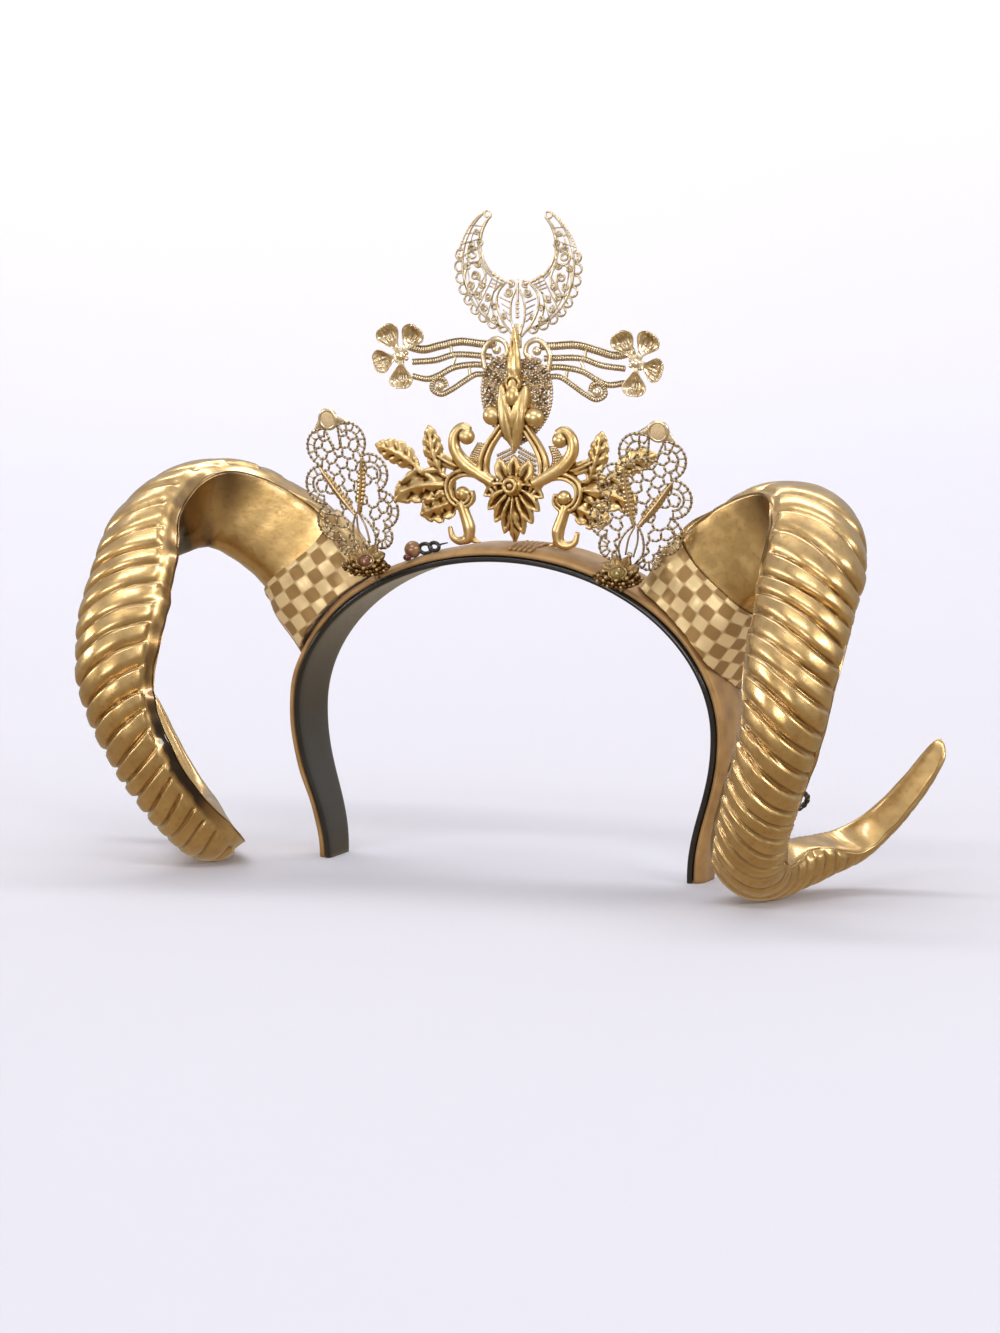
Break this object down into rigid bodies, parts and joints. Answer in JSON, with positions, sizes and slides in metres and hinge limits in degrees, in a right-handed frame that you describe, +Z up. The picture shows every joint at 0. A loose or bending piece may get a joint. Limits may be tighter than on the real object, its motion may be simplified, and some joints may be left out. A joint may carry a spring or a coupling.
{
  "type": "ram horn headband crown",
  "caption": "Costume hair band with a pair of curled, ridged gold ram horns in brocade cuffs and a tiara of cast scrolls, pierced filigree and a crescent between them.",
  "frame": {"origin": "centre of the whole crown's bounding box, on the surface that it stands on", "axes": "+Z up, +Y towards the wearer's face, +X to the right as seen from behind the wearer"},
  "size_m": [0.307, 0.1024, 0.2322],
  "materials": {
    "horn_gold": "hollow plastic painted in glossy metallic gold",
    "cast_gold": "cast metal, satin antique gold",
    "pale_gold": "stamped and wire filigree, pale gold plating",
    "satin": "gold brown satin, padded",
    "brocade": "chequered gold brocade",
    "black_plastic": "glossy black",
    "pearl": "gold brown imitation pearl",
    "red_bead": "dark red glossy bead"
  },
  "bodies": {
    "root": {"band_core": "black_plastic", "band_cover": "satin", "crown_casting": "cast_gold", "drop_filigree": "pale_gold", "crescent_filigree": "pale_gold", "horn_shell_right": "horn_gold", "horn_shell_left": "horn_gold", "horn_panel_right": "horn_gold", "horn_panel_left": "horn_gold", "horn_wrap_right": "brocade", "horn_wrap_left": "brocade", "arm_right": "pale_gold", "arm_left": "pale_gold", "wing_right": "pale_gold", "wing_left": "pale_gold", "rosette_right": "cast_gold", "rosette_left": "cast_gold", "coil_loop": "black_plastic", "pearl": "pearl", "red_bead": "red_bead"}
  },
  "joints": []
}
